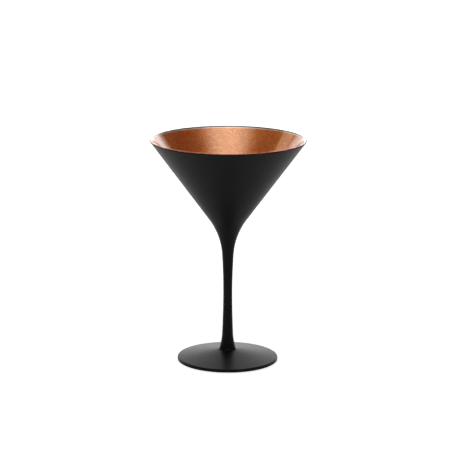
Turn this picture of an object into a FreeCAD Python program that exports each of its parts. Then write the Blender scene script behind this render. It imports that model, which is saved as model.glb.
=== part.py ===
import FreeCAD, Part
import math
import os
from collections import namedtuple

import Sketcher
from FreeCAD import Vector

# Martini glass: a clear glass bowl, stem and foot, hot-fused end to end, with lacquer on the outside.
# A bronze metallic film covers the outside of the bowl and shows through the glass from inside.
# A matte black film covers the bronze, the stem, and the top and edge of the foot.
#
# Millimetres, +Z up the glass's axis, origin at the centre of the plane that the foot rests on.
# Every piece is a profile turned about the Z axis. Its sketch lies in the XZ plane, where x is the radius and
# y the height.
# The finished outline is the outside of the black film. Each layer below is that outline moved inwards.

DIMENSIONS = (
    ("height", 168.5, "resting plane to the top of the lip"),
    ("mouth_radius", 58.0, "widest radius, at the outside of the black film"),
    ("rim_wall", 1.3, "thickness of the glass at the lip, which is a full round"),
    ("rim_film_angle", 20.0, "how far up the lip's round the films reach, from level"),
    ("cone_half_angle", 36.4, "outside of the bowl's cone, from the axis"),
    ("inside_half_angle", 37.2, "inside of the bowl's cone, from the axis"),
    ("inside_bottom_radius", 5.0, "rounding at the bottom of the drink space"),
    ("bowl_seam_height", 81.0, "where the bowl is fused to the stem"),
    ("waist_height", 52.0, "thinnest place of the stem"),
    ("waist_radius", 3.4, "radius of the stem there"),
    ("stem_upper_bend", 455.0, "radius of the long arc above the waist"),
    ("stem_lower_bend", 700.0, "radius of the long arc below the waist"),
    ("foot_seam_height", 20.0, "where the stem is fused to the foot"),
    ("flare_bend", 44.0, "radius of the arc at the top of the foot"),
    ("flare_end_height", 9.3, "where that arc turns into the fillet"),
    ("foot_radius", 37.75, "outside of the foot"),
    ("foot_slope", 9.8, "rise of the foot's top, from level"),
    ("edge_height", 2.3, "where the foot's top and side would meet"),
    ("edge_round", 0.8, "rounding of the foot's edge"),
    ("rest_ring_radius", 31.0, "inside of the flat ring that the foot rests on"),
    ("dome_rise", 3.0, "depth of the hollow under the foot"),
    ("bronze_gauge", 0.15, "thickness of the bronze film"),
    ("black_gauge", 0.15, "thickness of the black film"),
    ("wrap_angle", 40.0, "how far the black film turns under the foot's edge"),
)

# The end points of a sketch edge, and the centre of an arc, as Sketcher numbers them.
START, END, CENTRE = 1, 2, 3
# The sketch's own vertical axis, which is the glass's axis.
UP_AXIS = -2
# The way an arc turns as the outline runs along it.
LEFT, RIGHT = 1, -1

# A stretch of outline before it is drawn: a line has no centre and no turn.
Stretch = namedtuple("Stretch", "start end centre turn", defaults=(None, 0))
# A drawn edge: its number in the sketch, and which of its points come first and last along the outline.
Edge = namedtuple("Edge", "index first last stretch")


def make_sheet(doc):
    """The spreadsheet of driving dimensions: a note beside each aliased number."""
    sheet = doc.addObject("Spreadsheet::Sheet", "Dims")
    for row, (alias, value, note) in enumerate(DIMENSIONS, start=1):
        sheet.set(f"A{row}", note)
        sheet.set(f"B{row}", str(value))
        sheet.setAlias(f"B{row}", alias)
    doc.recompute()
    return sheet


def direction(angle):
    """Unit vector at an angle in degrees from the x axis."""
    return Vector(math.cos(math.radians(angle)), math.sin(math.radians(angle)), 0)


def blend_bend(start, inward, line_point, line_normal):
    """Radius of the arc that leaves start, with its centre opposite to inward, and ends tangent to a line."""
    return line_normal.dot(start - line_point) / (1 + line_normal.dot(inward))


class Outline:
    """The finished outline, as stretches that run from the foot's edge up to the lip."""

    def __init__(self, sheet):
        for alias, _, _ in DIMENSIONS:
            setattr(self, alias, getattr(sheet, alias))
        self.films = self.bronze_gauge + self.black_gauge
        self.lower_stem, self.upper_stem = self.stem_stretches()
        self.neck, self.cone, self.rim = self.bowl_stretches()
        self.edge, self.foot_corner = self.edge_stretches()
        self.flare, self.fillet, self.foot_top = self.flare_stretches()

    def stem_point(self, bend, height):
        """Centre of a long stem arc, and its point at a height."""
        reach = math.sqrt(bend**2 - (height - self.waist_height) ** 2)
        centre = Vector(self.waist_radius + bend, self.waist_height, 0)
        return centre, Vector(centre.x - reach, height, 0)

    def stem_stretches(self):
        waist = Vector(self.waist_radius, self.waist_height, 0)
        lower_centre, foot_seam = self.stem_point(self.stem_lower_bend, self.foot_seam_height)
        upper_centre, bowl_seam = self.stem_point(self.stem_upper_bend, self.bowl_seam_height)
        return Stretch(foot_seam, waist, lower_centre, RIGHT), Stretch(waist, bowl_seam, upper_centre, RIGHT)

    def bowl_stretches(self):
        """The neck, the cone, and the part of the lip's round that the films cover."""
        normal = direction(-self.cone_half_angle)
        rim_reach = self.rim_wall / 2 + self.films
        lip_centre = Vector(self.mouth_radius - rim_reach, self.height - self.rim_wall / 2, 0)
        cone_top = lip_centre + normal * rim_reach
        film_top = lip_centre + direction(self.rim_film_angle) * rim_reach
        seam, stem_centre = self.upper_stem.end, self.upper_stem.centre
        inward = (seam - stem_centre).normalize()
        bend = blend_bend(seam, inward, cone_top, normal)
        centre = seam - inward * bend
        neck_top = centre - normal * bend
        neck = Stretch(seam, neck_top, centre, RIGHT)
        return neck, Stretch(neck_top, cone_top), Stretch(cone_top, film_top, lip_centre, LEFT)

    def edge_stretches(self):
        """The foot's edge: the part turned under, the upright side, and the rounding to the top."""
        corner = Vector(self.foot_radius, self.edge_height, 0)
        setback = self.edge_round * math.tan(math.radians(90 - self.foot_slope) / 2)
        low_centre = Vector(corner.x - self.edge_round, self.edge_round - self.black_gauge, 0)
        high_centre = Vector(corner.x - self.edge_round, corner.y - setback, 0)
        wrap_end = low_centre + direction(-self.wrap_angle) * self.edge_round
        side_low = Vector(corner.x, low_centre.y, 0)
        side_high = Vector(corner.x, high_centre.y, 0)
        top_edge = high_centre + direction(90 - self.foot_slope) * self.edge_round
        under = Stretch(wrap_end, side_low, low_centre, LEFT)
        over = Stretch(side_high, top_edge, high_centre, LEFT)
        return (under, Stretch(side_low, side_high), over), corner

    def flare_stretches(self):
        seam, stem_centre = self.lower_stem.start, self.lower_stem.centre
        flare_centre = seam - (seam - stem_centre).normalize() * self.flare_bend
        reach = math.sqrt(self.flare_bend**2 - (flare_centre.y - self.flare_end_height) ** 2)
        flare_end = Vector(flare_centre.x - reach, self.flare_end_height, 0)
        inward = (flare_end - flare_centre).normalize()
        normal = direction(90 - self.foot_slope)
        bend = blend_bend(flare_end, inward, self.foot_corner, normal)
        fillet_centre = flare_end - inward * bend
        fillet_end = fillet_centre - normal * bend
        flare = Stretch(flare_end, seam, flare_centre, RIGHT)
        fillet = Stretch(fillet_end, flare_end, fillet_centre, RIGHT)
        return flare, fillet, Stretch(self.edge[-1].end, fillet_end)


def moved_in(point, stretch, depth):
    """A point of a stretch moved into the glass, which lies to the left of an outline that runs upwards."""
    if stretch.centre:
        spoke = point - stretch.centre
        return stretch.centre + spoke * (1 - stretch.turn * depth / spoke.Length)
    along = (stretch.end - stretch.start).normalize()
    return point + Vector(-along.y, along.x, 0) * depth


class Profile:
    """A body, and the sketch that is turned about the Z axis to make it."""

    def __init__(self, doc, label):
        self.doc = doc
        self.body = doc.addObject("PartDesign::Body", label)
        self.sketch = self.body.newObject("Sketcher::SketchObject", f"{label}_profile")
        plane = next(f for f in self.body.Origin.OriginFeatures if f.Role == "XZ_Plane")
        self.sketch.AttachmentSupport = [(plane, "")]
        self.sketch.MapMode = "FlatFace"

    def draw(self, stretch, guide=False):
        """Draws a stretch. A guide is construction geometry, which isn't part of the profile."""
        if not stretch.centre:
            segment = Part.LineSegment(stretch.start, stretch.end)
            return Edge(self.sketch.addGeometry(segment, guide), START, END, stretch)
        spokes = [stretch.start - stretch.centre, stretch.end - stretch.centre]
        ends = (START, END)
        if stretch.turn == RIGHT:
            spokes.reverse()
            ends = (END, START)
        first, last = (math.atan2(spoke.y, spoke.x) for spoke in spokes)
        if last < first:
            last += 2 * math.pi
        circle = Part.Circle(stretch.centre, Vector(0, 0, 1), spokes[0].Length)
        return Edge(self.sketch.addGeometry(Part.ArcOfCircle(circle, first, last), guide), *ends, stretch)

    def line(self, start, end, guide=False):
        return self.draw(Stretch(start, end), guide)

    def tie(self, kind, *where):
        self.sketch.addConstraint(Sketcher.Constraint(kind, *where))

    def size(self, kind, *where, to):
        """A dimension bound to an expression in the sheet's aliases."""
        value = self.sketch.evalExpression(to)
        if kind == "Angle":
            value = math.radians(value)
        number = self.sketch.addConstraint(Sketcher.Constraint(kind, *where, value))
        self.sketch.setExpression(f"Constraints[{number}]", to)

    def join(self, before, after):
        """Two edges meet end to end."""
        self.tie("Coincident", before.index, before.last, after.index, after.first)

    def blend(self, before, after):
        """Two edges meet end to end and tangent."""
        self.tie("Tangent", before.index, before.last, after.index, after.first)

    def place(self, edge, point, x=None, y=None):
        if x:
            self.size("DistanceX", edge.index, point, to=x)
        if y:
            self.size("DistanceY", edge.index, point, to=y)

    def chain(self, stretches, guide=False):
        """Draws stretches that run on from each other, tangent at every joint."""
        edges = [self.draw(stretch, guide) for stretch in stretches]
        for before, after in zip(edges, edges[1:]):
            self.blend(before, after)
        return edges

    def inset(self, edges, depth):
        """The same run of edges moved into the glass: arcs share their centres and lines stay parallel."""
        moved = []
        for edge in edges:
            stretch = edge.stretch
            ends = [moved_in(point, stretch, depth) for point in (stretch.start, stretch.end)]
            moved.append(self.draw(stretch._replace(start=ends[0], end=ends[1])))
            if stretch.centre:
                self.tie("Coincident", edge.index, CENTRE, moved[-1].index, CENTRE)
            else:
                self.tie("Parallel", edge.index, moved[-1].index)
        for before, after in zip(moved, moved[1:]):
            self.blend(before, after)
        return moved

    def bridge(self, edge, point, other_edge, other_point):
        """A line from a point of one edge to a point of another."""
        start = self.sketch.getPoint(edge.index, point)
        end = self.sketch.getPoint(other_edge.index, other_point)
        line = self.line(start, end)
        self.tie("Coincident", line.index, START, edge.index, point)
        self.tie("Coincident", line.index, END, other_edge.index, other_point)

    def stem_guide(self, stretch, waist_point, bend):
        """A long stem arc as a guide: it gives the direction in which the outline crosses a seam."""
        arc = self.draw(stretch, guide=True)
        self.place(arc, CENTRE, x=f"Dims.waist_radius + {bend}", y="Dims.waist_height")
        self.size("Radius", arc.index, to=bend)
        self.tie("Horizontal", arc.index, CENTRE, arc.index, getattr(arc, waist_point))
        return arc

    def turn_about_axis(self):
        self.doc.recompute()
        if not self.sketch.FullyConstrained or self.sketch.RedundantConstraints:
            raise RuntimeError(f"{self.sketch.Label}: {self.sketch.DoF} degrees of freedom are left")
        turned = self.body.newObject("PartDesign::Revolution", f"{self.body.Label}_turned")
        turned.Profile = self.sketch
        turned.ReferenceAxis = (self.sketch, ["V_Axis"])
        turned.Angle = 360
        self.body.Placement = FreeCAD.Placement()
        self.doc.recompute()
        return self.body


def bowl_guides(profile, outline, film_is_drawn):
    """The finished outline of the bowl, and the line to the lip's centre along which the films end."""
    stem = profile.stem_guide(outline.upper_stem, "first", "Dims.stem_upper_bend")
    neck, cone, rim = profile.chain((outline.neck, outline.cone, outline.rim), guide=not film_is_drawn)
    profile.blend(stem, neck)
    profile.place(neck, neck.first, y="Dims.bowl_seam_height")
    profile.size("Angle", cone.index, to="90 - Dims.cone_half_angle")
    reach = "Dims.rim_wall / 2 + Dims.bronze_gauge + Dims.black_gauge"
    profile.size("Radius", rim.index, to=reach)
    profile.place(rim, CENTRE, x=f"Dims.mouth_radius - ({reach})", y="Dims.height - Dims.rim_wall / 2")
    across = profile.line(outline.rim.end, outline.rim.centre, guide=True)
    profile.join(rim, across)
    profile.tie("Coincident", across.index, END, rim.index, CENTRE)
    profile.size("Angle", across.index, to="Dims.rim_film_angle - 180")
    return neck, cone, rim, across


def bowl_layer(profile, guides, depth, depth_expression):
    """The bowl's outline moved in by a depth, from the seam to where the films end."""
    across = guides[-1]
    neck, cone, rim = profile.inset(guides[:-1], depth)
    profile.place(neck, neck.first, y="Dims.bowl_seam_height")
    profile.tie("PointOnObject", rim.index, rim.last, across.index)
    profile.size("Distance", across.index, START, rim.index, rim.last, to=depth_expression)
    return neck, cone, rim


def close_film(profile, outer, inner):
    """Joins two layers into the closed section of a film, with a line at each end."""
    profile.bridge(outer[0], outer[0].first, inner[0], inner[0].first)
    profile.bridge(outer[-1], outer[-1].last, inner[-1], inner[-1].last)


def make_bowl(doc, outline):
    profile = Profile(doc, "bowl")
    guides = bowl_guides(profile, outline, film_is_drawn=False)
    neck, cone, rim = bowl_layer(profile, guides, outline.films, "Dims.bronze_gauge + Dims.black_gauge")

    inward = direction(180 - outline.inside_half_angle)
    inside_top = outline.rim.centre + inward * (outline.rim_wall / 2)
    bottom_centre_height = inside_top.y + (outline.inside_bottom_radius + inside_top.x * inward.x) / inward.y
    bottom_centre = Vector(0, bottom_centre_height, 0)
    inside_low = bottom_centre - inward * outline.inside_bottom_radius
    lowest = bottom_centre - Vector(0, outline.inside_bottom_radius, 0)
    axis_low = Vector(0, outline.bowl_seam_height, 0)

    lip = profile.draw(Stretch(rim.stretch.end, inside_top, outline.rim.centre, LEFT))
    inside = profile.line(inside_top, inside_low)
    bottom = profile.draw(Stretch(inside_low, lowest, bottom_centre, RIGHT))
    axis = profile.line(lowest, axis_low)
    base = profile.line(axis_low, neck.stretch.start)
    profile.join(rim, lip)
    profile.tie("Coincident", lip.index, CENTRE, rim.index, CENTRE)
    profile.blend(lip, inside)
    profile.blend(inside, bottom)
    profile.join(bottom, axis)
    profile.join(axis, base)
    profile.join(base, neck)
    profile.size("Angle", inside.index, to="-90 - Dims.inside_half_angle")
    profile.size("Radius", bottom.index, to="Dims.inside_bottom_radius")
    profile.tie("PointOnObject", bottom.index, CENTRE, UP_AXIS)
    profile.tie("PointOnObject", axis.index, START, UP_AXIS)
    profile.tie("PointOnObject", axis.index, END, UP_AXIS)
    profile.tie("Horizontal", base.index)
    return profile.turn_about_axis()


def make_bowl_bronze_coat(doc, outline):
    profile = Profile(doc, "bowl_bronze_coat")
    guides = bowl_guides(profile, outline, film_is_drawn=False)
    outer = bowl_layer(profile, guides, outline.black_gauge, "Dims.black_gauge")
    inner = bowl_layer(profile, guides, outline.films, "Dims.bronze_gauge + Dims.black_gauge")
    close_film(profile, outer, inner)
    return profile.turn_about_axis()


def make_bowl_black_coat(doc, outline):
    profile = Profile(doc, "bowl_black_coat")
    guides = bowl_guides(profile, outline, film_is_drawn=True)
    inner = bowl_layer(profile, guides, outline.black_gauge, "Dims.black_gauge")
    close_film(profile, guides[:-1], inner)
    return profile.turn_about_axis()


def stem_layer(profile, outline, depth, inset_expression):
    """The stem's two long arcs moved in by a depth, from seam to seam."""
    stretches = [
        stretch._replace(
            start=moved_in(stretch.start, stretch, depth),
            end=moved_in(stretch.end, stretch, depth),
        )
        for stretch in (outline.lower_stem, outline.upper_stem)
    ]
    lower, upper = profile.chain(stretches)
    profile.size("Radius", lower.index, to=f"Dims.stem_lower_bend{inset_expression}")
    profile.size("Radius", upper.index, to=f"Dims.stem_upper_bend{inset_expression}")
    profile.place(lower, CENTRE, x="Dims.waist_radius + Dims.stem_lower_bend", y="Dims.waist_height")
    profile.tie("Horizontal", lower.index, CENTRE, lower.index, lower.last)
    profile.place(lower, lower.first, y="Dims.foot_seam_height")
    profile.place(upper, upper.last, y="Dims.bowl_seam_height")
    return lower, upper


def make_stem(doc, outline):
    profile = Profile(doc, "stem")
    lower, upper = stem_layer(profile, outline, outline.black_gauge, " + Dims.black_gauge")
    axis_high = Vector(0, outline.bowl_seam_height, 0)
    axis_low = Vector(0, outline.foot_seam_height, 0)
    top = profile.line(upper.stretch.end, axis_high)
    axis = profile.line(axis_high, axis_low)
    base = profile.line(axis_low, lower.stretch.start)
    profile.join(upper, top)
    profile.join(top, axis)
    profile.join(axis, base)
    profile.join(base, lower)
    profile.tie("PointOnObject", axis.index, START, UP_AXIS)
    profile.tie("PointOnObject", axis.index, END, UP_AXIS)
    profile.tie("Horizontal", top.index)
    profile.tie("Horizontal", base.index)
    return profile.turn_about_axis()


def make_stem_black_coat(doc, outline):
    profile = Profile(doc, "stem_black_coat")
    outer = stem_layer(profile, outline, 0, "")
    inner = stem_layer(profile, outline, outline.black_gauge, " + Dims.black_gauge")
    close_film(profile, outer, inner)
    return profile.turn_about_axis()


def foot_guides(profile, outline, film_is_drawn):
    """The finished outline of the foot, from the edge turned under up to the seam."""
    stretches = (*outline.edge, outline.foot_top, outline.fillet, outline.flare)
    edges = profile.chain(stretches, guide=not film_is_drawn)
    under, side, over, top, fillet, flare = edges
    stem = profile.stem_guide(outline.lower_stem, "last", "Dims.stem_lower_bend")
    profile.blend(flare, stem)
    profile.place(flare, flare.last, y="Dims.foot_seam_height")
    profile.size("Radius", flare.index, to="Dims.flare_bend")
    profile.place(flare, flare.first, y="Dims.flare_end_height")
    profile.size("Angle", top.index, to="180 - Dims.foot_slope")
    profile.size("Radius", over.index, to="Dims.edge_round")
    profile.size("Radius", under.index, to="Dims.edge_round")
    profile.tie("Vertical", side.index)
    profile.place(side, side.first, x="Dims.foot_radius")
    profile.place(under, CENTRE, y="Dims.edge_round - Dims.black_gauge")
    corner = profile.sketch.addGeometry(Part.Point(outline.foot_corner), True)
    profile.tie("PointOnObject", corner, START, top.index)
    profile.size("DistanceX", corner, START, to="Dims.foot_radius")
    profile.size("DistanceY", corner, START, to="Dims.edge_height")
    return edges


def make_foot(doc, outline):
    profile = Profile(doc, "foot")
    guides = foot_guides(profile, outline, film_is_drawn=False)
    profile.size("Angle", guides[0].index, to="Dims.wrap_angle")
    under, side, over, top, fillet, flare = profile.inset(guides, outline.black_gauge)
    profile.place(side, side.first, x="Dims.foot_radius - Dims.black_gauge")
    profile.tie("Vertical", under.index, CENTRE, under.index, under.first)
    profile.place(flare, flare.last, y="Dims.foot_seam_height")

    axis_high = Vector(0, outline.foot_seam_height, 0)
    axis_low = Vector(0, outline.dome_rise, 0)
    ring_inside = Vector(outline.rest_ring_radius, 0, 0)
    ring_outside = Vector(under.stretch.centre.x, 0, 0)
    dome_bend = (outline.rest_ring_radius**2 + outline.dome_rise**2) / (2 * outline.dome_rise)
    dome_centre = Vector(0, outline.dome_rise - dome_bend, 0)
    seam = profile.line(flare.stretch.end, axis_high)
    axis = profile.line(axis_high, axis_low)
    dome = profile.draw(Stretch(axis_low, ring_inside, dome_centre, RIGHT))
    ring = profile.line(ring_inside, ring_outside)
    profile.join(flare, seam)
    profile.join(seam, axis)
    profile.join(axis, dome)
    profile.join(dome, ring)
    profile.join(ring, under)
    profile.tie("Horizontal", seam.index)
    profile.tie("Horizontal", ring.index)
    profile.tie("PointOnObject", axis.index, START, UP_AXIS)
    profile.tie("PointOnObject", axis.index, END, UP_AXIS)
    profile.tie("PointOnObject", dome.index, CENTRE, UP_AXIS)
    profile.place(axis, END, y="Dims.dome_rise")
    profile.place(ring, START, x="Dims.rest_ring_radius")
    return profile.turn_about_axis()


def make_foot_black_coat(doc, outline):
    profile = Profile(doc, "foot_black_coat")
    outer = foot_guides(profile, outline, film_is_drawn=True)
    profile.size("Angle", outer[0].index, to="Dims.wrap_angle")
    inner = profile.inset(outer, outline.black_gauge)
    under, side = inner[:2]
    profile.place(side, side.first, x="Dims.foot_radius - Dims.black_gauge")
    profile.place(inner[-1], inner[-1].last, y="Dims.foot_seam_height")
    profile.size("Angle", under.index, to="Dims.wrap_angle")
    close_film(profile, outer, inner)
    return profile.turn_about_axis()


def check(doc, bodies):
    """Stops the run if any feature failed or any piece isn't one valid solid."""
    for item in doc.Objects:
        if "Invalid" in item.State or "Error" in item.State:
            raise RuntimeError(f"{item.Label} failed: {item.State}")
    for body in bodies:
        shape = body.Shape
        if shape.isNull() or not shape.isValid() or len(shape.Solids) != 1:
            raise RuntimeError(f"{body.Label} isn't one valid solid")
        print(f"{body.Label}: {shape.Volume:.1f} cubic mm, {shape.BoundBox}")


def main():
    doc = FreeCAD.newDocument("martini_glass")
    outline = Outline(make_sheet(doc))
    makers = (
        make_bowl,
        make_stem,
        make_foot,
        make_bowl_bronze_coat,
        make_bowl_black_coat,
        make_stem_black_coat,
        make_foot_black_coat,
    )
    bodies = [maker(doc, outline) for maker in makers]
    check(doc, bodies)
    os.makedirs("parts", exist_ok=True)
    for body in bodies:
        body.Shape.exportStep(f"parts/{body.Label}.step")


main()
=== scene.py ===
import math

import bmesh
import bpy
from mathutils import Matrix, Vector


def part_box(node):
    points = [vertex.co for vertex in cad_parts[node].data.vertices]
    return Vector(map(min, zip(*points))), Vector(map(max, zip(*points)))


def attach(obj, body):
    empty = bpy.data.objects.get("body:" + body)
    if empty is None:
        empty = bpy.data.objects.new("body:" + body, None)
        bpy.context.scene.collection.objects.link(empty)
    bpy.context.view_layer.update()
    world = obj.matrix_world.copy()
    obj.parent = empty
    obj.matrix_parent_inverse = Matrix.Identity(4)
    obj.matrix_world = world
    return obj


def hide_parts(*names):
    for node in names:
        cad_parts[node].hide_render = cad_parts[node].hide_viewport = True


# A martini glass: clear glass with bronze and black lacquer on its outside.
# Every piece is a profile turned about the Z axis. Lengths are metres, angles are degrees.

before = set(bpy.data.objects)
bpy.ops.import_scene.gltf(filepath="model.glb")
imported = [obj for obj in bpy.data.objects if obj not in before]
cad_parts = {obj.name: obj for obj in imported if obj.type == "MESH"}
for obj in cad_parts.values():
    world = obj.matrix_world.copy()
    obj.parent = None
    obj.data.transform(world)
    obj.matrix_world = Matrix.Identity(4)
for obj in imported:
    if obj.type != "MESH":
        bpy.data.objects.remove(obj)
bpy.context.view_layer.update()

MILLIMETRE = 0.001
SEGMENTS = 256          # faces round the axis
SHARP_ANGLE = 35        # edges that turn by more than this are shaded sharp
ON_AXIS = 1e-9          # a point nearer to the axis than this is on it

# The finished outline, which is the outside of the black film. Heights and widths come from the frame.
CONE_HALF_ANGLE = 36.4
INSIDE_HALF_ANGLE = 37.2
INSIDE_BOTTOM_RADIUS = 5.0 * MILLIMETRE
LIP_RADIUS = 0.65 * MILLIMETRE      # half the wall at the lip
FILM = 0.15 * MILLIMETRE            # one film, bronze or black
KEY = 0.04 * MILLIMETRE             # how far a film is keyed into what it covers
RIM_FILM_ANGLE = 20.0               # how far up the lip's round the films reach, from level
FILM_END = 0.1                      # share of its thickness that a film keeps where it ends on the lip
WAIST_RADIUS = 3.4 * MILLIMETRE
WAIST_HEIGHT = 52.0 * MILLIMETRE
STEM_UPPER_BEND = 455.0 * MILLIMETRE
STEM_LOWER_BEND = 700.0 * MILLIMETRE
FLARE_BEND = 44.0 * MILLIMETRE
FLARE_END_HEIGHT = 9.3 * MILLIMETRE
FOOT_SLOPE = 9.8
FOOT_EDGE_HEIGHT = 2.3 * MILLIMETRE
FOOT_EDGE_ROUND = 0.8 * MILLIMETRE
WRAP_ANGLE = 40.0                   # how far the black film turns under the foot's edge
REST_RING_RADIUS = 31.0 * MILLIMETRE
DOME_RISE = 3.0 * MILLIMETRE

# How many faces each stretch of a profile is cut into.
STEPS = {
    "neck": 40, "cone": 60, "lip_side": 8, "film_end": 8, "lip": 24, "inside": 60, "inside_bottom": 16,
    "stem_half": 40, "flare": 20, "fillet": 14, "foot_top": 40, "foot_round": 8, "foot_side": 3,
    "rest_ring": 6, "dome": 30, "bowl_seam": 4, "stem_seam": 3, "foot_seam": 3,
}

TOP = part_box("bowl")[1].z
BOWL_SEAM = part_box("bowl")[0].z
FOOT_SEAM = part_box("stem")[0].z
MOUTH_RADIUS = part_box("bowl_black_coat")[1].x
FOOT_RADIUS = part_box("foot_black_coat")[1].x

# The studio. A radiance of 1 shows as white.
FLOOR_HALF_WIDTH = 15.0
FLOOR_ALBEDO = 0.8
FLOOR_MOTTLE = 1.01                 # how much paler the floor's pale patches are
FLOOR_MOTTLE_SIZE = 0.3
FLOOR_GLOW = 0.50
CEILING_RADIANCE = 0.02
HORIZON_RADIANCE = 1.0
HORIZON_FADE = (0.0, 0.22)          # sine of the elevation where the bright horizon starts and ends its fade
# Soft lights painted on the surroundings: their direction, the angles from their middle to where they fade
# out and to where they are full, and their radiance.
BACKDROP = ((0.0, 0.94, 0.34), 46.5, 33.0, 2.35)
KEY_LIGHT = ((0.0, -0.478, 0.878), 34.0, 0.0, 2.85)
# The backdrop is dimmer higher up: the sines of the elevation where that starts and ends, and both levels.
BACKDROP_DIMMING = (0.30, 0.60, 1.0, 0.65)
SOFTBOX_DISTANCE = 1.2

SENSOR_WIDTH = 36                   # this and the lens are in millimetres
LENS = 168.84
CAMERA_PITCH = 12.86
CAMERA_ROLL = 0.20
CAMERA_PLACE = (-0.00224, -1.535, 0.4540)

# The bronze film's last stretch below the lip, seen through the glass: a pale line that is a painted
# highlight, then a dark band at its top end that is painted shade.
PAINTED_HIGHLIGHT_DROP = 1.85 * MILLIMETRE
PAINTED_SHADE_DROP = 1.25 * MILLIMETRE
EDGE_BLUR = 0.12 * MILLIMETRE
PAINTED_HIGHLIGHT_COLOUR = (1.0, 0.86, 0.70)
PAINTED_SHADE_COLOUR = (0.15, 0.055, 0.028)

# The bronze's grain. A flake's kind is a number: deep copper up to the first limit, pale from the second.
FLAKE_SIZE = 0.17 * MILLIMETRE
SPECKLE_SIZE = 0.7 * MILLIMETRE     # patches with more flakes of one kind
SPECKLE_SHIFT = 0.26                # how far such a patch shifts the kinds of its flakes, either way
CLOUD_SIZE = 7 * MILLIMETRE
CLOUD_SHIFT = 0.02
LEAN_SIZE = 0.6 * MILLIMETRE        # patches of the film that lean one way
LEAN = 0.03
KIND_LIMITS = (0.66, 0.80)
DEEP_COPPER = ((0.80, 0.160, 0.027), (0.98, 0.215, 0.043))
PALE_BRONZE = ((1.00, 0.54, 0.20), (1.00, 0.61, 0.25))
DEEP_ROUGHNESS = 0.61
PALE_ROUGHNESS = 0.30

BLACK_TONES = ((0.0039, 0.0039, 0.0040), (0.0049, 0.0049, 0.0049))
BLACK_ROUGHNESS = (0.33, 0.41)

NOISE_SPAN = (0.3, 0.7)             # nearly all of a noise's values lie in here


def direction(angle):
    """Unit vector in the profile's plane, at an angle from the radius."""
    return Vector((math.cos(math.radians(angle)), math.sin(math.radians(angle))))


def arc(centre, start, end, steps, clockwise=True):
    """Points of the arc from start to end about centre, both ends included."""
    first = math.atan2(start.y - centre.y, start.x - centre.x)
    last = math.atan2(end.y - centre.y, end.x - centre.x)
    if clockwise and last > first:
        last -= 2 * math.pi
    if not clockwise and last < first:
        last += 2 * math.pi
    radius = (start - centre).length
    angles = [first + (last - first) * i / steps for i in range(steps + 1)]
    return [centre + radius * Vector((math.cos(a), math.sin(a))) for a in angles]


def line(start, end, steps):
    return [start.lerp(end, i / steps) for i in range(steps + 1)]


def run_on(*stretches):
    """Stretches that follow each other, without the doubled points."""
    points = list(stretches[0])
    for stretch in stretches[1:]:
        points += stretch[1:]
    return points


def blend_bend(start, inward, line_point, line_normal):
    """Radius of the arc that leaves start, with its centre opposite to inward, and ends tangent to a line."""
    return line_normal.dot(start - line_point) / (1 + line_normal.dot(inward))


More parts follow.
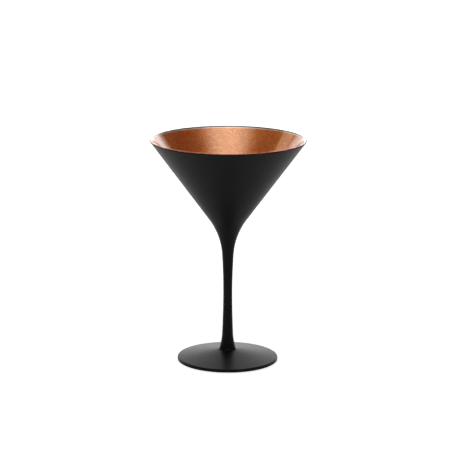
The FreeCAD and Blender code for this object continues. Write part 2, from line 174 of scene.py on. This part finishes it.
class Outline:
    """The finished outline's arcs. Each layer is the same outline moved in by a depth."""

    def __init__(self):
        self.cone_normal = direction(-CONE_HALF_ANGLE)
        rim_reach = LIP_RADIUS + 2 * FILM
        self.lip_centre = Vector((MOUTH_RADIUS - rim_reach, TOP - LIP_RADIUS))
        self.cone_top = self.lip_centre + self.cone_normal * rim_reach

        self.upper_centre = Vector((WAIST_RADIUS + STEM_UPPER_BEND, WAIST_HEIGHT))
        self.lower_centre = Vector((WAIST_RADIUS + STEM_LOWER_BEND, WAIST_HEIGHT))
        bowl_seam = self.stem_point(self.upper_centre, STEM_UPPER_BEND, BOWL_SEAM)
        inward = (bowl_seam - self.upper_centre).normalized()
        self.neck_bend = blend_bend(bowl_seam, inward, self.cone_top, self.cone_normal)
        self.neck_centre = bowl_seam - inward * self.neck_bend

        foot_seam = self.stem_point(self.lower_centre, STEM_LOWER_BEND, FOOT_SEAM)
        inward = (foot_seam - self.lower_centre).normalized()
        self.flare_centre = foot_seam - inward * FLARE_BEND
        flare_end = self.stem_point(self.flare_centre, FLARE_BEND, FLARE_END_HEIGHT)
        self.flare_inward = (flare_end - self.flare_centre).normalized()
        self.top_normal = direction(90 - FOOT_SLOPE)
        corner = Vector((FOOT_RADIUS, FOOT_EDGE_HEIGHT))
        self.fillet_bend = blend_bend(flare_end, self.flare_inward, corner, self.top_normal)
        self.fillet_centre = flare_end - self.flare_inward * self.fillet_bend
        setback = FOOT_EDGE_ROUND * math.tan(math.radians(90 - FOOT_SLOPE) / 2)
        self.over_centre = Vector((FOOT_RADIUS - FOOT_EDGE_ROUND, FOOT_EDGE_HEIGHT - setback))
        self.under_centre = Vector((FOOT_RADIUS - FOOT_EDGE_ROUND, FOOT_EDGE_ROUND - FILM))

    @staticmethod
    def stem_point(centre, bend, height):
        """The point of a hollow arc at a height, on the side of the axis."""
        return Vector((centre.x - math.sqrt(bend**2 - (height - centre.y) ** 2), height))

    def bowl(self, depth):
        """The bowl's outside from the seam up to where the films end on the lip's round."""
        bend = self.neck_bend + depth
        seam = self.stem_point(self.neck_centre, bend, BOWL_SEAM)
        neck_top = self.neck_centre - self.cone_normal * bend
        cone_top = self.cone_top - self.cone_normal * depth
        level = self.lip_centre + Vector((LIP_RADIUS + 2 * FILM - depth, 0))
        return run_on(
            arc(self.neck_centre, seam, neck_top, STEPS["neck"]),
            line(neck_top, cone_top, STEPS["cone"]),
            arc(self.lip_centre, cone_top, level, STEPS["lip_side"], clockwise=False),
            self.film_ending(depth, STEPS["film_end"]),
        )

    def film_ending(self, depth, steps):
        """The lip's round from level up to the films' end, where they thin out."""
        points = []
        for i in range(steps + 1):
            share = i / steps
            cover = (2 * FILM - depth) * (1 - share * (1 - FILM_END))
            points.append(self.lip_centre + direction(RIM_FILM_ANGLE * share) * (LIP_RADIUS + cover))
        return points

    def stem(self, depth):
        """The stem's outside from its lower seam to its upper one."""
        low = self.stem_point(self.lower_centre, STEM_LOWER_BEND + depth, FOOT_SEAM)
        waist = Vector((WAIST_RADIUS - depth, WAIST_HEIGHT))
        high = self.stem_point(self.upper_centre, STEM_UPPER_BEND + depth, BOWL_SEAM)
        return run_on(
            arc(self.lower_centre, low, waist, STEPS["stem_half"]),
            arc(self.upper_centre, waist, high, STEPS["stem_half"]),
        )

    def foot(self, depth, wrap_angle):
        """The foot's outside from under its edge, over its top and up to the seam."""
        edge_round = FOOT_EDGE_ROUND - depth
        start = self.under_centre + direction(-wrap_angle) * edge_round
        side_low = self.under_centre + Vector((edge_round, 0))
        side_high = self.over_centre + Vector((edge_round, 0))
        top_edge = self.over_centre + self.top_normal * edge_round
        fillet_end = self.fillet_centre - self.top_normal * (self.fillet_bend + depth)
        flare_end = self.fillet_centre + self.flare_inward * (self.fillet_bend + depth)
        seam = self.stem_point(self.flare_centre, FLARE_BEND + depth, FOOT_SEAM)
        return run_on(
            arc(self.under_centre, start, side_low, STEPS["foot_round"], clockwise=False),
            line(side_low, side_high, STEPS["foot_side"]),
            arc(self.over_centre, side_high, top_edge, STEPS["foot_round"], clockwise=False),
            line(top_edge, fillet_end, STEPS["foot_top"]),
            arc(self.fillet_centre, fillet_end, flare_end, STEPS["fillet"]),
            arc(self.flare_centre, flare_end, seam, STEPS["flare"]),
        )


# ---------------------------------------------------------------- meshes

def lathe(name, section, material):
    """A closed solid: a section turned about the Z axis. One that starts on the axis also ends on it."""
    mesh = bpy.data.meshes.new(name)
    build = bmesh.new()
    rings = []
    for point in section:
        if point.x < ON_AXIS:
            rings.append([build.verts.new((0, 0, point.y))] * SEGMENTS)
            continue
        turns = (2 * math.pi * i / SEGMENTS for i in range(SEGMENTS))
        ring = ((point.x * math.cos(turn), point.x * math.sin(turn), point.y) for turn in turns)
        rings.append([build.verts.new(place) for place in ring])
    closed = section[0].x >= ON_AXIS
    for ring, following in zip(rings, rings[1:] + rings[:1] * closed):
        for i in range(SEGMENTS):
            j = (i + 1) % SEGMENTS
            corners = dict.fromkeys((ring[i], ring[j], following[j], following[i]))
            build.faces.new(corners)
    bmesh.ops.recalc_face_normals(build, faces=build.faces)
    build.to_mesh(mesh)
    build.free()
    mesh.shade_smooth()
    mesh.set_sharp_from_angle(angle=math.radians(SHARP_ANGLE))
    mesh.materials.append(material)
    piece = bpy.data.objects.new(name, mesh)
    bpy.context.scene.collection.objects.link(piece)
    return piece


def stand_for(piece, node):
    """Puts a piece on the glass's body in the place of its CAD node."""
    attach(piece, "root")
    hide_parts(node)


def film(outer, inner):
    """The closed section of a film between two layers."""
    return outer + inner[::-1]


def bowl_section(outline):
    """The bowl's glass: outside, full-round lip, inside, rounded bottom and the solid neck below it."""
    outside = outline.bowl(2 * FILM)
    inward = direction(180 - INSIDE_HALF_ANGLE)
    inside_top = outline.lip_centre + inward * LIP_RADIUS
    bottom_height = inside_top.y + (INSIDE_BOTTOM_RADIUS + inside_top.x * inward.x) / inward.y
    bottom_centre = Vector((0, bottom_height))
    inside_low = bottom_centre - inward * INSIDE_BOTTOM_RADIUS
    lowest = bottom_centre - Vector((0, INSIDE_BOTTOM_RADIUS))
    return run_on(
        line(Vector((0, BOWL_SEAM)), outside[0], STEPS["bowl_seam"]),
        outside,
        arc(outline.lip_centre, outside[-1], inside_top, STEPS["lip"], clockwise=False),
        line(inside_top, inside_low, STEPS["inside"]),
        arc(bottom_centre, inside_low, lowest, STEPS["inside_bottom"]),
    )


def stem_section(outline):
    """The stem's glass: a solid rod with a flat seam at each end."""
    side = outline.stem(FILM)
    low_seam = line(Vector((0, FOOT_SEAM)), side[0], STEPS["stem_seam"])
    high_seam = line(side[-1], Vector((0, BOWL_SEAM)), STEPS["stem_seam"])
    return run_on(low_seam, side, high_seam)


def foot_section(outline):
    """The foot's glass: a hollow under the middle, a flat ring to rest on, the edge and the top."""
    outside = outline.foot(FILM, 90)
    dome_bend = (REST_RING_RADIUS**2 + DOME_RISE**2) / (2 * DOME_RISE)
    dome_centre = Vector((0, DOME_RISE - dome_bend))
    dome = arc(dome_centre, Vector((0, DOME_RISE)), Vector((REST_RING_RADIUS, 0)), STEPS["dome"])
    rest_ring = line(dome[-1], outside[0], STEPS["rest_ring"])
    seam = line(outside[-1], Vector((0, FOOT_SEAM)), STEPS["foot_seam"])
    return run_on(dome, rest_ring, outside, seam)


def make_pieces(clear, bronze, black):
    outline = Outline()
    stand_for(lathe("bowl_glass", bowl_section(outline), clear), "bowl")
    stand_for(lathe("stem_glass", stem_section(outline), clear), "stem")
    stand_for(lathe("foot_glass", foot_section(outline), clear), "foot")
    bowl_bronze = film(outline.bowl(FILM), outline.bowl(2 * FILM + KEY))
    stand_for(lathe("bowl_bronze_film", bowl_bronze, bronze), "bowl_bronze_coat")
    bowl_black = film(outline.bowl(0), outline.bowl(FILM + KEY))
    stand_for(lathe("bowl_black_film", bowl_black, black), "bowl_black_coat")
    stem_black = film(outline.stem(0), outline.stem(FILM + KEY))
    stand_for(lathe("stem_black_film", stem_black, black), "stem_black_coat")
    foot_black = film(outline.foot(0, WRAP_ANGLE), outline.foot(FILM + KEY, WRAP_ANGLE))
    stand_for(lathe("foot_black_film", foot_black, black), "foot_black_coat")


# ---------------------------------------------------------------- materials

class Surface:
    """A node material with one Principled shader, and short ways to add nodes to it."""

    def __init__(self, name):
        self.material = bpy.data.materials.new(name)
        self.material.use_nodes = True
        self.nodes = self.material.node_tree.nodes
        self.links = self.material.node_tree.links
        self.shader = self.nodes["Principled BSDF"]
        self.place = self.nodes.new("ShaderNodeTexCoord").outputs["Object"]

    def set(self, **values):
        """Plain values on the shader's own sockets."""
        for socket, value in values.items():
            self.shader.inputs[socket.replace("_", " ")].default_value = value

    def link(self, source, target):
        self.links.new(source, target)

    def noise(self, size, detail=2.0):
        """Smooth noise whose features are about size metres across."""
        node = self.nodes.new("ShaderNodeTexNoise")
        node.inputs["Scale"].default_value = 1 / size
        node.inputs["Detail"].default_value = detail
        self.link(self.place, node.inputs["Vector"])
        return node.outputs["Fac"]

    def cells(self, size):
        """A random colour for each cell of about size metres."""
        node = self.nodes.new("ShaderNodeTexVoronoi")
        node.inputs["Scale"].default_value = 1 / size
        self.link(self.place, node.inputs["Vector"])
        return node.outputs["Color"]

    def spread(self, value, low, high, start=0.0, end=1.0):
        """A value taken from the span start to end onto the span low to high."""
        node = self.nodes.new("ShaderNodeMapRange")
        node.inputs["From Min"].default_value = start
        node.inputs["From Max"].default_value = end
        node.inputs["To Min"].default_value = low
        node.inputs["To Max"].default_value = high
        self.link(value, node.inputs["Value"])
        return node.outputs["Result"]

    def ramp(self, value, *stops):
        """A colour ramp with stops of a position and a colour."""
        node = self.nodes.new("ShaderNodeValToRGB")
        elements = node.color_ramp.elements
        while len(elements) < len(stops):
            elements.new(0.5)
        for element, (position, colour) in zip(elements, stops):
            element.position = position
            element.color = (*colour, 1)
        self.link(value, node.inputs["Fac"])
        return node.outputs["Color"]

    def bump(self, height, distance, strength, under=None):
        """A normal bent by a height, on top of another one if that is given."""
        node = self.nodes.new("ShaderNodeBump")
        node.inputs["Distance"].default_value = distance
        node.inputs["Strength"].default_value = strength
        self.link(height, node.inputs["Height"])
        if under:
            self.link(under, node.inputs["Normal"])
        return node.outputs["Normal"]

    def tilted_normal(self, colour, amount):
        """The surface's normal leaned at random, by a random colour and up to about amount."""
        middle = self.nodes.new("ShaderNodeVectorMath")
        middle.operation = "SUBTRACT"
        middle.inputs[1].default_value = (0.5, 0.5, 0.5)
        self.link(colour, middle.inputs[0])
        lean = self.nodes.new("ShaderNodeVectorMath")
        lean.operation = "MULTIPLY_ADD"
        lean.inputs[1].default_value = (2 * amount, 2 * amount, 2 * amount)
        self.link(middle.outputs[0], lean.inputs[0])
        self.link(self.nodes.new("ShaderNodeNewGeometry").outputs["Normal"], lean.inputs[2])
        unit = self.nodes.new("ShaderNodeVectorMath")
        unit.operation = "NORMALIZE"
        self.link(lean.outputs[0], unit.inputs[0])
        return unit.outputs[0]

    def height(self):
        """The height above the floor."""
        node = self.nodes.new("ShaderNodeSeparateXYZ")
        self.link(self.place, node.inputs["Vector"])
        return node.outputs["Z"]

    def add(self, one, other):
        node = self.nodes.new("ShaderNodeMath")
        self.link(one, node.inputs[0])
        self.link(other, node.inputs[1])
        return node.outputs["Value"]

    def mix(self, colour, plain_colour, share):
        """A colour that turns to a plain colour as share goes from 0 to 1."""
        node = self.nodes.new("ShaderNodeMixRGB")
        node.inputs["Color2"].default_value = (*plain_colour, 1)
        self.link(colour, node.inputs["Color1"])
        self.link(share, node.inputs["Fac"])
        return node.outputs["Color"]

    def separate(self, colour, channel):
        node = self.nodes.new("ShaderNodeSeparateColor")
        self.link(colour, node.inputs["Color"])
        return node.outputs[channel]


def clear_glass():
    """Fire-polished glass: faint waves in its surface, and a trace of grey-green."""
    surface = Surface("clear_glass")
    surface.set(Base_Color=(0.975, 0.985, 0.98, 1), Transmission_Weight=1, IOR=1.5, Roughness=0)
    waves = surface.bump(surface.noise(18 * MILLIMETRE), distance=0.2 * MILLIMETRE, strength=0.15)
    surface.link(waves, surface.shader.inputs["Normal"])
    return surface.material


def bronze_lacquer():
    """Bronze metallic lacquer: deep copper flakes that scatter light, and fewer pale ones that mirror it."""
    surface = Surface("bronze_lacquer")
    surface.set(Metallic=1)
    clouds = surface.noise(CLOUD_SIZE, detail=3)
    clouds = surface.spread(clouds, -CLOUD_SHIFT, CLOUD_SHIFT, *NOISE_SPAN)
    speckle = surface.noise(SPECKLE_SIZE, detail=1)
    speckle = surface.spread(speckle, -SPECKLE_SHIFT, SPECKLE_SHIFT, *NOISE_SPAN)
    kind = surface.separate(surface.cells(FLAKE_SIZE), "Red")
    kind = surface.add(surface.add(kind, clouds), speckle)
    kinds = zip((0, *KIND_LIMITS, 1), DEEP_COPPER + PALE_BRONZE)
    painted_shade, painted_highlight = (
        surface.spread(surface.height(), 0, 1, TOP - drop, TOP - drop + EDGE_BLUR)
        for drop in (PAINTED_SHADE_DROP, PAINTED_HIGHLIGHT_DROP)
    )
    # The pale line near the lip is a painted highlight mixed into the bronze's colour.
    highlighted = surface.mix(surface.ramp(kind, *kinds), PAINTED_HIGHLIGHT_COLOUR, painted_highlight)
    # The dark band at the film's top end is painted shade mixed into the bronze's colour.
    surface.link(surface.mix(highlighted, PAINTED_SHADE_COLOUR, painted_shade), surface.shader.inputs["Base Color"])
    roughness = surface.spread(kind, DEEP_ROUGHNESS, PALE_ROUGHNESS, *KIND_LIMITS)
    surface.link(roughness, surface.shader.inputs["Roughness"])
    leaning = surface.tilted_normal(surface.cells(LEAN_SIZE), LEAN)
    surface.link(leaning, surface.shader.inputs["Normal"])
    return surface.material


def black_lacquer():
    """Matte black lacquer: a sprayed skin with a fine grain over a softer orange peel."""
    surface = Surface("black_lacquer")
    surface.set(Specular_IOR_Level=0.052)
    colour = surface.ramp(surface.noise(14 * MILLIMETRE, detail=3), *zip(NOISE_SPAN, BLACK_TONES))
    surface.link(colour, surface.shader.inputs["Base Color"])
    roughness = surface.spread(surface.noise(1.2 * MILLIMETRE, detail=3), *BLACK_ROUGHNESS, *NOISE_SPAN)
    surface.link(roughness, surface.shader.inputs["Roughness"])
    peel = surface.noise(1.6 * MILLIMETRE)
    peel = surface.bump(peel, distance=0.02 * MILLIMETRE, strength=0.5)
    grain = surface.noise(0.25 * MILLIMETRE)
    grain = surface.bump(grain, distance=0.006 * MILLIMETRE, strength=0.5, under=peel)
    surface.link(grain, surface.shader.inputs["Normal"])
    return surface.material


def pale_floor():
    """A white table lit a little from within, as a light table is."""
    surface = Surface("pale_floor")
    tints = (FLOOR_ALBEDO,) * 3, (FLOOR_ALBEDO * FLOOR_MOTTLE,) * 3
    tint = surface.ramp(surface.noise(FLOOR_MOTTLE_SIZE), *zip(NOISE_SPAN, tints))
    surface.link(tint, surface.shader.inputs["Base Color"])
    surface.set(Roughness=0.9, Emission_Color=(1, 1, 1, 1), Emission_Strength=FLOOR_GLOW)
    return surface.material


# ---------------------------------------------------------------- studio

def softbox(name, bearing, rise, width, height, radiance, tint=(1, 1, 1)):
    """A rectangular light that faces the bowl from a bearing, in degrees from +X towards +Y, and a rise."""
    across = math.cos(math.radians(rise)) * SOFTBOX_DISTANCE
    offset = Vector((
        math.cos(math.radians(bearing)) * across,
        math.sin(math.radians(bearing)) * across,
        math.sin(math.radians(rise)) * SOFTBOX_DISTANCE,
    ))
    light = bpy.data.lights.new(name, "AREA")
    light.shape = "RECTANGLE"
    light.size = width
    light.size_y = height
    light.energy = radiance * math.pi * width * height     # a face of this radiance gives off this power
    light.color = tint
    holder = bpy.data.objects.new(name, light)
    holder.location = Vector((0, 0, TOP)) + offset
    holder.rotation_euler = (-offset).to_track_quat("-Z", "Y").to_euler()
    holder.visible_camera = False
    bpy.context.scene.collection.objects.link(holder)


def map_range(nodes, links, value, start, end, low, high):
    """A smooth step from low to high as value goes from start to end."""
    node = nodes.new("ShaderNodeMapRange")
    node.interpolation_type = "SMOOTHSTEP"
    for socket, number in (("From Min", start), ("From Max", end), ("To Min", low), ("To Max", high)):
        node.inputs[socket].default_value = number
    links.new(value, node.inputs["Value"])
    return node.outputs["Result"]


def combine(nodes, links, operation, one, other):
    node = nodes.new("ShaderNodeMath")
    node.operation = operation
    links.new(one, node.inputs[0])
    links.new(other, node.inputs[1])
    return node.outputs["Value"]


def painted_light(nodes, links, way, middle, fade_angle, full_angle, radiance):
    """The radiance, along a way, of a soft round light painted on the surroundings."""
    towards = nodes.new("ShaderNodeVectorMath")
    towards.operation = "DOT_PRODUCT"
    towards.inputs[1].default_value = Vector(middle).normalized()
    links.new(way, towards.inputs[0])
    fade, full = (math.cos(math.radians(angle)) for angle in (fade_angle, full_angle))
    return map_range(nodes, links, towards.outputs["Value"], fade, full, 0, radiance)


def surroundings():
    """A white horizon under a dark ceiling, with a bright backdrop and a soft key light high in front."""
    world = bpy.data.worlds.new("studio")
    bpy.context.scene.world = world
    world.use_nodes = True
    nodes, links = world.node_tree.nodes, world.node_tree.links
    way = nodes.new("ShaderNodeTexCoord").outputs["Generated"]
    parts = nodes.new("ShaderNodeSeparateXYZ")
    links.new(way, parts.inputs["Vector"])
    elevation = parts.outputs["Z"]

    horizon = map_range(nodes, links, elevation, *HORIZON_FADE, HORIZON_RADIANCE, CEILING_RADIANCE)
    backdrop = painted_light(nodes, links, way, *BACKDROP)
    dimming = map_range(nodes, links, elevation, *BACKDROP_DIMMING)
    backdrop = combine(nodes, links, "MULTIPLY", backdrop, dimming)
    total = combine(nodes, links, "ADD", horizon, backdrop)
    total = combine(nodes, links, "ADD", total, painted_light(nodes, links, way, *KEY_LIGHT))
    links.new(total, nodes["Background"].inputs["Strength"])
    nodes["Background"].inputs["Color"].default_value = (1, 1, 1, 1)


def floor():
    half = FLOOR_HALF_WIDTH
    corners = [(-half, -half, 0), (half, -half, 0), (half, half, 0), (-half, half, 0)]
    mesh = bpy.data.meshes.new("floor")
    mesh.from_pydata(corners, [], [(0, 1, 2, 3)])
    mesh.materials.append(pale_floor())
    piece = bpy.data.objects.new("floor", mesh)
    bpy.context.scene.collection.objects.link(piece)


def camera():
    data = bpy.data.cameras.new("camera")
    data.sensor_width = SENSOR_WIDTH
    data.lens = LENS
    holder = bpy.data.objects.new("camera", data)
    tilt = Matrix.Rotation(math.radians(90 - CAMERA_PITCH), 4, "X")
    roll = Matrix.Rotation(math.radians(CAMERA_ROLL), 4, "Z")
    holder.matrix_world = Matrix.Translation(CAMERA_PLACE) @ tilt @ roll
    bpy.context.scene.collection.objects.link(holder)
    bpy.context.scene.camera = holder


bpy.context.scene.view_settings.view_transform = "Standard"
camera()
make_pieces(clear_glass(), bronze_lacquer(), black_lacquer())
surroundings()
floor()
softbox("left_box", bearing=144, rise=36, width=0.36, height=0.80, radiance=2.1, tint=(1, 0.82, 0.56))
softbox("right_box", bearing=66, rise=30, width=0.50, height=0.80, radiance=1.0)
